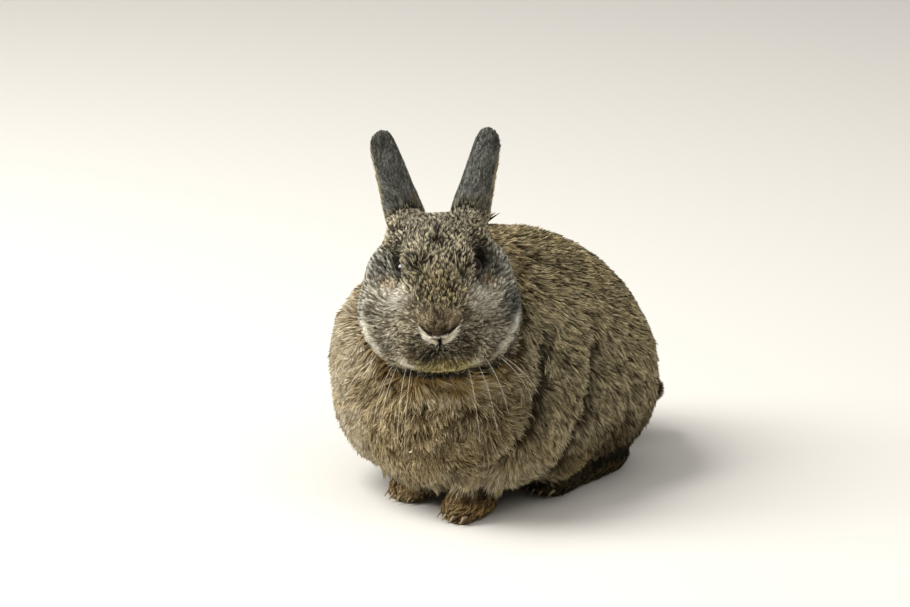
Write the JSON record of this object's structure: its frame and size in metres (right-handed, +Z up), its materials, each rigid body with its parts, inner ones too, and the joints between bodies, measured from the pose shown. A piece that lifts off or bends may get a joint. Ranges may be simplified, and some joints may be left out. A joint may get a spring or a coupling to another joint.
{
  "type": "rabbit",
  "caption": "Life-size still model of a stocky, wild-coloured rabbit sitting with its head turned to its left.",
  "frame": {"origin": "on the floor, under the middle of the rabbit's bounding box", "axes": "+Z up; -Y is the way the trunk faces, so the tail is at +Y; +X is the rabbit's left"},
  "size_m": [0.1692, 0.2554, 0.243],
  "materials": {
    "coat_body": "dense matt fur, brown and cream banded hairs",
    "coat_head": "short dense matt fur, grey-brown",
    "coat_feet": "short warm brown fur",
    "coat_ears": "very short dark grey fur with a cream rim",
    "eye": "wet gloss, dark brown iris",
    "claw": "smooth dark horn",
    "whisker": "pale stiff hair"
  },
  "bodies": {
    "root": {"head": "coat_head", "neck": "coat_body", "trunk": "coat_body", "tail": "coat_body", "thigh_left": "coat_body", "thigh_right": "coat_body", "foreleg_left": "coat_feet", "foreleg_right": "coat_feet", "hind_foot_left": "coat_feet", "hind_foot_right": "coat_feet", "ear_left": "coat_ears", "ear_right": "coat_ears", "eye_left": "eye", "eye_right": "eye"}
  },
  "joints": []
}
